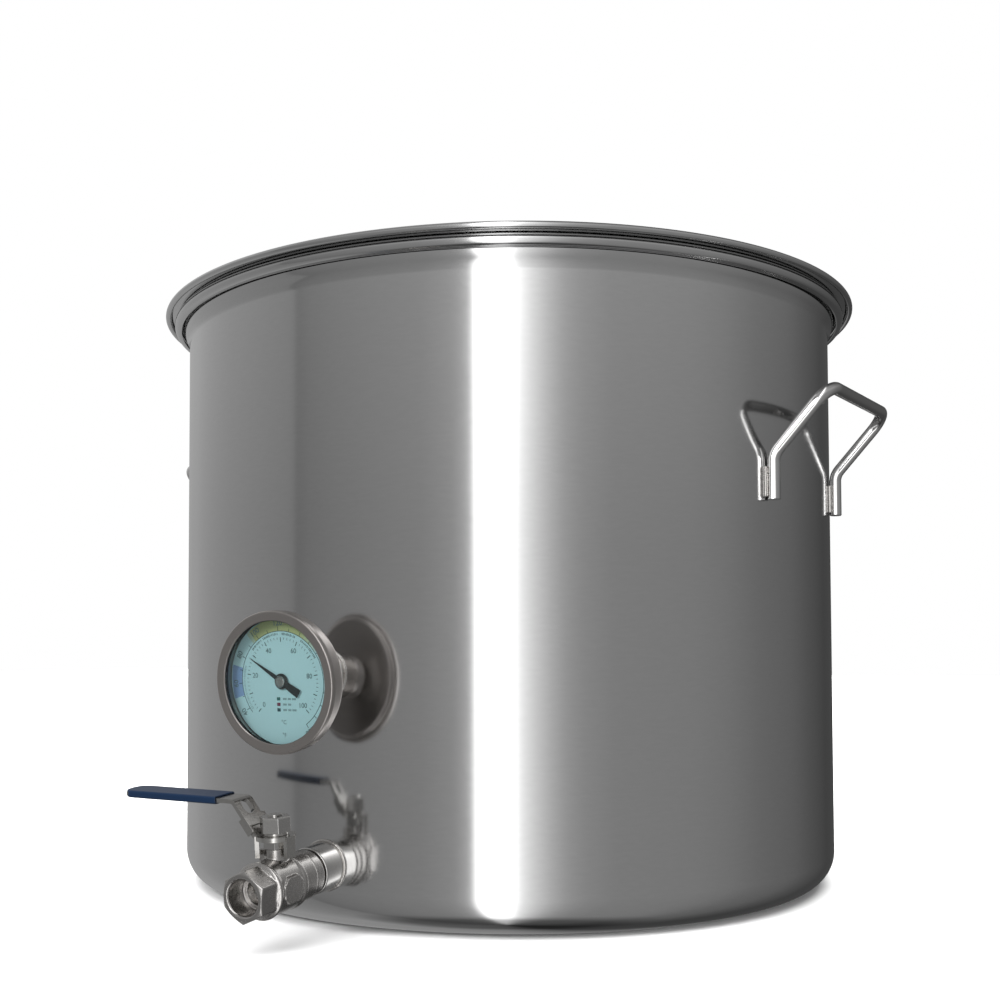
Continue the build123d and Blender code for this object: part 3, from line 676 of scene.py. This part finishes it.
for kind, place in (("valve", valve_frame), ("gauge", gauge_frame)):
    revolved(f"{kind}_coupling_turned", [
        (-3, 10.7, 0), (-3, 14.3, 0), (17.5, 14.3, 0.9), (17.5, 10.9, 0.3), (17.2, 10.7, 0),
    ], "machined_steel", "kettle", f"{kind}_coupling", place)
    ring = []
    reach = COUPLING_R + 0.2 * MM
    for a in round_angles(240):
        ring.append(on_wall(place, reach * cos(a), reach * sin(a)) + OUT * 0.2 * MM)
    piece(f"{kind}_coupling_weld_bead", swept(ring, ripple(COUPLING_WELD_R, 6, 60), 16, closed=True),
          finish["weld_steel"], "kettle", "weld_steel", f"{kind}_coupling_weld", angle=WELD_SHARP)

# ================================================================ ball valve
cast("valve_body", 0.4 * MM, 4, finish["cast_steel"], "kettle", "cast_steel")

revolved("valve_end_cap_turned", [
    (19.5, 10.7, 0), (19.5, 14.2, 1.0), (26.6, 14.2, 0.8), (26.6, 12.6, 0), (34, 12.6, 0.2),
    (34, 7.5, 0.2), (32, 7.5, 0), (32, 10.7, 0),
], "cast_steel", "kettle", "valve_end_cap", valve_frame)

thread = [(s + d, 10.65 if d in (0, 0.9) else 10.05, 0.1)
          for s in (17.0, 18.8, 20.6) for d in (0, 0.45, 0.9, 1.35)]
revolved("valve_nipple_threaded", [
    (3.0, 7.9, 0.3), (3.0, 10.65, 0.6), *thread, (31.5, 10.65, 0.6), (31.5, 7.9, 0.3),
], "machined_steel", "kettle", "valve_nipple", valve_frame, 96)
cast("lever_sleeve", 0.35 * MM, 6, finish["blue_vinyl"], "lever", "blue_vinyl")

for node, edge, slot in (
    ("valve_stem", 0.3, "machined_steel"),
    ("gland_nut", 0.35, "machined_steel"),
    ("stem_nut", 0.3, "machined_steel"),
    ("valve_lever", 0.3, "lever_steel"),
    ("lock_latch", 0.25, "lever_steel"),
    ("lever_washer", 0.25, "machined_steel"),
    ("gauge_hex", 0.3, "machined_steel"),
):
    eased(node, edge * MM, finish[slot], nodes[node]["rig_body"], slot)

# ================================================================ thermometer
revolved("gauge_case_turned", [
    (31.5, 3.3, 0), (31.5, 8.5, 0.5), (33, 11, 1.0), (35.5, 13, 1.2), (35.5, 38.6, 3.0),
    (47.8, 38.6, 0.3), (47.8, 37.7, 0.3), (36.4, 37.7, 2.2), (36.4, 3.3, 0),
], "gauge_steel", "kettle", "gauge_case", gauge_frame, 192)
revolved("gauge_bezel_turned", [
    (41.5, 38.65, 0.2), (41.5, 40.1, 0.4), (42.7, 41.1, 0.6), (48.6, 41.5, 1.5), (51.6, 41.2, 1.1),
    (51.6, 39.8, 0.6), (51.2, 35.8, 0.2), (50.7, 35.4, 0.2), (50.45, 35.4, 0.1), (50.45, 38.65, 0.1),
], "gauge_steel", "kettle", "gauge_bezel", gauge_frame, 256)

revolved("glass_gasket_turned", [
    (47.8, 35.6, 0.15), (48.45, 35.6, 0.15), (48.45, 37.6, 0.15), (47.8, 37.6, 0.15),
], "rubber", "kettle", "glass_gasket", gauge_frame, 160)
revolved("dial_post_turned", [
    (36.45, 4.6, 0.2), (36.45, 6.0, 0.2), (41.75, 6.0, 0.2), (41.75, 4.6, 0.2),
], "machined_steel", "kettle", "dial_post", gauge_frame, 64)
revolved("gauge_glass_turned", [
    (48.5, 0, 0), (48.5, 37.2, 0.15), (50.4, 37.2, 0.15), (50.4, 0, 0),
], "glass", "kettle", "gauge_glass", gauge_frame, 160)
revolved("pointer_hub_turned", [
    (43.92, 0.72, 0.1), (43.92, 3.4, 0.3), (45.8, 3.4, 0.7), (45.8, 0.72, 0.2),
], "machined_steel", "pointer", "pointer_hub", gauge_frame, 64)
eased("gauge_pointer", 0.1 * MM, finish["pointer_black"], "pointer", "pointer_black")


# ---------------------------------------------------------------- the dial's print
DIAL_BACK, DIAL_FRONT = 41.8, 42.6     # mm from the wall
INK_DEPTH, TINT_DEPTH = 0.04, 0.01
FACE_R, POST_HOLE_R = 37.2, 1.3
ZERO_ANGLE = -135                      # clockwise from the top, at 0 degrees C and 32 degrees F
TURN_PER_C, TURN_PER_F = 2.7, 1.5
RING_R, RING_OUTER, CELSIUS_R = 29.2, 36.6, 25.4
CAP_HEIGHT = 0.72                      # of a capital, against the font's size
BOLDNESS = 0.02                        # of the strokes, against the letters' height
FACE, INK = (0.52, 0.79, 0.84), (0.012, 0.05, 0.06)
BLUE, GREEN = (0.20, 0.34, 0.66), (0.50, 0.56, 0.26)
LEGEND = ((0.01, 0.13, 0.13), (0.16, 0.01, 0.05), (0.005, 0.06, 0.08))


def dial_place(angle, radius):
    """A frame on the dial at a clockwise angle from the top, with its y axis away from the centre."""
    a = radians(angle)
    spot = Vector((radius * sin(a), radius * cos(a), DIAL_FRONT)) * MM
    return gauge_frame @ Matrix.Translation(spot) @ Matrix.Rotation(-a, 4, "Z")


def block(place, width, tall):
    """A thin printed bar, with its middle at a place."""
    loops = []
    for z in (-INK_DEPTH / 2, INK_DEPTH):
        loops.append([place @ (Vector((x * width / 2, y * tall / 2, z)) * MM)
                      for x, y in ((-1, -1), (1, -1), (1, 1), (-1, 1))])
    return skin(loops, caps=True)


def band(start, end, inner, outer, depth=INK_DEPTH):
    """A printed arc between two clockwise angles and two radii."""
    loops = []
    steps = max(1, ceil(abs(end - start) / 3))
    for k in range(steps + 1):
        place = dial_place(start + (end - start) * k / steps, 0)
        loops.append([place @ (Vector((0, r, z)) * MM)
                      for r, z in ((inner, -INK_DEPTH / 2), (outer, -INK_DEPTH / 2),
                                   (outer, depth), (inner, depth))])
    return skin(loops, caps=True)


def letters(text, tall, place):
    """Printed characters of a height in mm, centred on a place."""
    curve = bpy.data.curves.new("letters", "FONT")
    curve.body = text
    curve.size = tall * MM / CAP_HEIGHT
    curve.align_x, curve.align_y = "CENTER", "CENTER"
    curve.extrude = INK_DEPTH * MM
    curve.offset = BOLDNESS * tall * MM
    curve.resolution_u = 3
    holder = bpy.data.objects.new("letters", curve)
    mesh = holder.to_mesh()
    build = bmesh.new()
    build.from_mesh(mesh)
    bmesh.ops.remove_doubles(build, verts=build.verts, dist=1e-7)
    build.verts.index_update()
    shape = [place @ v.co for v in build.verts], [tuple(v.index for v in f.verts) for f in build.faces]
    build.free()
    holder.to_mesh_clear()
    bpy.data.objects.remove(holder)
    bpy.data.curves.remove(curve)
    return shape


def blended(one, other, amount):
    """A colour between two colours."""
    return tuple(a + (b - a) * amount for a, b in zip(one, other))


def dial_print():
    """Every printed part of the dial as (shape, colour), over a plain face."""
    face = turned([(POST_HOLE_R * MM, DIAL_BACK * MM), (FACE_R * MM, DIAL_BACK * MM),
                   (FACE_R * MM, DIAL_FRONT * MM), (POST_HOLE_R * MM, DIAL_FRONT * MM)], 160, gauge_frame)
    parts = [(face, FACE)]
    for start in range(-107, -75, 4):
        parts.append((band(start, start + 4, RING_R, RING_OUTER, TINT_DEPTH), blended(FACE, BLUE, 0.85)))
    for start in range(-42, 54, 4):
        strength = min(1.0, (start + 46) / 8, (58 - start) / 30)
        parts.append((band(start, start + 4, RING_R, RING_OUTER, TINT_DEPTH),
                      blended(FACE, GREEN, strength)))
    parts.append((band(-129, 147, 28.9, 29.25), INK))
    for fahrenheit in range(40, 221, 10):
        angle = ZERO_ANGLE + TURN_PER_F * (fahrenheit - 32)
        tall = 2.4 if fahrenheit % 20 == 0 else 1.8
        parts.append((block(dial_place(angle, RING_R + tall / 2), 0.34, tall), INK))
        if fahrenheit % 20 == 0:
            parts.append((letters(str(fahrenheit), 3.3, dial_place(angle, 33.7)),
                          blended(FACE, INK, 0.72)))
    for celsius in range(0, 101, 2):
        angle = ZERO_ANGLE + TURN_PER_C * celsius
        tall = 2.6 if celsius % 10 == 0 else 1.3
        wide = 0.5 if celsius % 10 == 0 else 0.26
        parts.append((block(dial_place(angle, CELSIUS_R - tall / 2), wide, tall), INK))
        if celsius % 20 == 0:
            level = dial_place(angle, 19.6) @ Matrix.Rotation(radians(angle), 4, "Z")
            parts.append((letters(str(celsius), 2.9, level), blended(FACE, INK, 0.8)))
    # Short marks in groups where fine lettering runs round the inside of the ring.
    source = random.Random(11)
    for start, end in ((-126, -70), (-48, -31), (-27, -3), (3, 22), (32, 60)):
        angle = float(start)
        while angle < end:
            tall = source.choice((0.9, 1.2, 1.2, 1.5))
            parts.append((block(dial_place(angle, 27.4), source.uniform(0.4, 0.75), tall),
                          blended(FACE, INK, 0.75 if start > -60 else 0.35)))
            angle += source.uniform(1.7, 2.5)
    for text, low in (("\u00b0C", -23.8), ("\u00b0F", -31.2)):
        parts.append((letters(text, 2.4, dial_place(180, -low) @ Matrix.Rotation(pi, 4, "Z")),
                      blended(FACE, INK, 0.7)))
    for row, colour in enumerate(LEGEND):
        low = -10.2 - 3.2 * row
        upright = gauge_frame @ Matrix.Translation(Vector((-3.2, low, DIAL_FRONT)) * MM)
        parts.append((block(upright, 2.4, 1.9), colour))
        for k, wide in enumerate((2.6, 2.2, 3.0)[:3 - row % 2]):
            upright = gauge_frame @ Matrix.Translation(Vector((1.2 + 3.3 * k, low, DIAL_FRONT)) * MM)
            parts.append((block(upright, wide, 1.2), blended(FACE, INK, 0.55)))
    return parts


def painted(name, parts, finish_name, body, node):
    """One piece made of coloured parts; the colours are kept on the mesh as "print"."""
    vertices, faces = joined(*[shape for shape, colour in parts])
    mesh = bpy.data.meshes.new(name)
    mesh.from_pydata(vertices, [], faces)
    build = bmesh.new()
    build.from_mesh(mesh)
    bmesh.ops.recalc_face_normals(build, faces=build.faces)
    build.to_mesh(mesh)
    build.free()
    colours = [colour for shape, colour in parts for _ in shape[1]]
    printed = mesh.color_attributes.new("print", "FLOAT_COLOR", "CORNER")
    for polygon, colour in zip(mesh.polygons, colours):
        for corner in polygon.loop_indices:
            printed.data[corner].color = (*colour, 1)
    mesh.materials.append(finish[finish_name])
    obj = bpy.data.objects.new(name, mesh)
    bpy.context.scene.collection.objects.link(obj)
    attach(obj, body)
    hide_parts(node)
    return obj


painted("gauge_dial_printed", dial_print(), "dial_paint", "kettle", "gauge_dial")

# ================================================================ stage, light and camera
FLOOR_HALF = 6.0
FLOOR_DROP = 0.3 * MM
ROOM_PEAK, HEIGHT_PEAK = 2.5, 2.5      # what the two ramps' greys are divided by


def pale_floor():
    """A pale floor that only the camera sees, so that it stays plain in every reflection."""
    corners = [(x * FLOOR_HALF, y * FLOOR_HALF, 0) for x, y in ((-1, -1), (1, -1), (1, 1), (-1, 1))]
    mesh = bpy.data.meshes.new("floor")
    mesh.from_pydata(corners, [], [(0, 1, 2, 3)])
    made, _, shader, _ = material("floor_paint")
    shader.inputs["Base Color"].default_value = (0.9, 0.9, 0.9, 1)
    shader.inputs["Roughness"].default_value = 1.0
    shader.inputs["Specular IOR Level"].default_value = 0.0
    mesh.materials.append(made)
    floor = bpy.data.objects.new("floor", mesh)
    floor.location.z = -FLOOR_DROP
    bpy.context.scene.collection.objects.link(floor)
    floor.visible_glossy = False
    floor.visible_diffuse = False
    return floor


def grey_ramp(tree, value, stops):
    """A ramp of greys over (position, brightness) stops."""
    ramp = tree.nodes.new("ShaderNodeValToRGB")
    elements = ramp.color_ramp.elements
    for position, level in stops[1:-1]:
        elements.new(position)
    for element, (position, level) in zip(elements, stops):
        element.position = position
        element.color = (level, level, level, 1)
    tree.links.new(value, ramp.inputs["Fac"])
    return ramp.outputs["Color"]


def surroundings():
    """White to the camera, and a grey studio with one tall strip light to everything else."""
    world = bpy.data.worlds.new("studio")
    bpy.context.scene.world = world
    world.use_nodes = True
    tree = world.node_tree
    tree.nodes.clear()
    output = tree.nodes.new("ShaderNodeOutputWorld")
    direction = tree.nodes.new("ShaderNodeTexCoord")
    turn = tree.nodes.new("ShaderNodeVectorRotate")
    turn.rotation_type = "Z_AXIS"
    turn.inputs["Angle"].default_value = -radians(CAMERA_AZIMUTH)
    tree.links.new(direction.outputs["Generated"], turn.inputs["Vector"])
    split = tree.nodes.new("ShaderNodeSeparateXYZ")
    tree.links.new(turn.outputs["Vector"], split.inputs["Vector"])
    towards = operation(tree, "MULTIPLY", split.outputs["Y"], -1)
    azimuth = operation(tree, "ARCTAN2", split.outputs["X"], towards)
    height = operation(tree, "ARCSINE", split.outputs["Z"])

    def unit(value, low, high):
        spread = tree.nodes.new("ShaderNodeMapRange")
        spread.inputs["From Min"].default_value = radians(low)
        spread.inputs["From Max"].default_value = radians(high)
        tree.links.new(value, spread.inputs["Value"])
        return spread.outputs["Result"]

    # Brightness round the room, in degrees from the camera's azimuth.
    room = [(-180, 0.34), (-140, 0.42), (-110, 0.34), (-76, 0.27), (-75, 0.19), (-70, 0.225),
            (-60, 0.25), (-28, 0.31), (-17, 0.38), (-11.2, 0.55), (-10.8, 2.5), (1.5, 2.5), (4, 1.38),
            (9, 0.94), (14, 0.65), (19, 0.46), (25, 0.37), (35, 0.315), (64, 0.29), (77, 0.26),
            (92, 0.205), (111, 0.165), (123, 0.12), (141, 0.07), (165, 0.07), (180, 0.34)]
    round_room = grey_ramp(tree, unit(azimuth, -180, 180),
                           [((a + 180) / 360, level / ROOM_PEAK) for a, level in room])
    # Brightness from the floor up to the ceiling.
    heights = [(-90, 0.25), (-72, 0.35), (-60, 0.9), (-20, 0.95), (5, 1.0), (17, 1.2), (30, 1.5),
               (50, 1.2), (90, 1.0)]
    up_room = grey_ramp(tree, unit(height, -90, 90),
                        [((a + 90) / 180, level / HEIGHT_PEAK) for a, level in heights])
    both = tree.nodes.new("ShaderNodeMix")
    both.data_type = "RGBA"
    both.blend_type = "MULTIPLY"
    both.inputs["Factor"].default_value = 1.0
    tree.links.new(round_room, both.inputs["A"])
    tree.links.new(up_room, both.inputs["B"])
    room_light = tree.nodes.new("ShaderNodeBackground")
    room_light.inputs["Strength"].default_value = ROOM_PEAK * HEIGHT_PEAK
    tree.links.new(both.outputs["Result"], room_light.inputs["Color"])
    white = tree.nodes.new("ShaderNodeBackground")
    white.inputs["Color"].default_value = (1, 1, 1, 1)
    ray = tree.nodes.new("ShaderNodeLightPath")
    choose = tree.nodes.new("ShaderNodeMixShader")
    tree.links.new(ray.outputs["Is Camera Ray"], choose.inputs["Fac"])
    tree.links.new(room_light.outputs["Background"], choose.inputs[1])
    tree.links.new(white.outputs["Background"], choose.inputs[2])
    tree.links.new(choose.outputs["Shader"], output.inputs["Surface"])


def shine_on(light, things):
    """Limits a light to a few objects."""
    receivers = bpy.data.collections.new(light.name + "_receivers")
    for thing in things:
        receivers.objects.link(thing)
    light.light_linking.receiver_collection = receivers


def lamp(name, place, target, size, power, only=(), glossy=True):
    """A soft rectangular lamp. With only, it lights nothing but those objects."""
    data = bpy.data.lights.new(name, "AREA")
    data.shape = "RECTANGLE"
    data.size, data.size_y = size
    data.energy = power
    obj = bpy.data.objects.new(name, data)
    bpy.context.scene.collection.objects.link(obj)
    obj.location = place
    obj.rotation_euler = (Vector(target) - Vector(place)).to_track_quat("-Z", "Y").to_euler()
    obj.visible_camera = False
    obj.visible_glossy = glossy
    if only:
        shine_on(obj, only)


def overcast(only, strength, spread):
    """Very soft light from straight above for a few objects, even at any distance."""
    data = bpy.data.lights.new("overcast", "SUN")
    data.energy = strength
    data.angle = radians(spread)
    obj = bpy.data.objects.new("overcast", data)
    bpy.context.scene.collection.objects.link(obj)
    obj.visible_glossy = False
    shine_on(obj, only)


def room_place(azimuth, distance, height):
    """A place in the room at an azimuth from the camera's own, in degrees."""
    a = radians(azimuth + CAMERA_AZIMUTH)
    return Vector((distance * sin(a), -distance * cos(a), height))


def photographers_view():
    """The camera at the photographer's place, with the same lens and framing."""
    data = bpy.data.cameras.new("camera")
    data.lens = CAMERA_LENS
    data.sensor_width = 36
    data.shift_x, data.shift_y = CAMERA_SHIFT
    data.clip_start = 0.01
    data.clip_end = 100
    camera = bpy.data.objects.new("camera", data)
    bpy.context.scene.collection.objects.link(camera)
    turn = Matrix.Rotation(radians(CAMERA_AZIMUTH), 4, "Z")
    place = turn @ Matrix.Translation((0, -CAMERA_DISTANCE, CAMERA_HEIGHT))
    look = Matrix.Rotation(radians(-CAMERA_YAW), 4, "Z")
    tilt = Matrix.Rotation(radians(90 + CAMERA_PITCH), 4, "X")
    roll = Matrix.Rotation(radians(CAMERA_ROLL), 4, "Z")
    camera.matrix_world = place @ look @ tilt @ roll
    bpy.context.scene.camera = camera


floor = pale_floor()
surroundings()
overcast((floor,), 6.0, 75)
lamp("front_lamp", (-0.5, -1.6, 1.0), (0, -0.25, 0.15), (0.8, 0.8), 22, glossy=False)
lamp("rod_lamp", room_place(-38, 1.6, 0.45), (0, 0, 0.3), (1.5, 0.9), 26, only=handles)
photographers_view()
bpy.context.scene.view_settings.view_transform = "Standard"
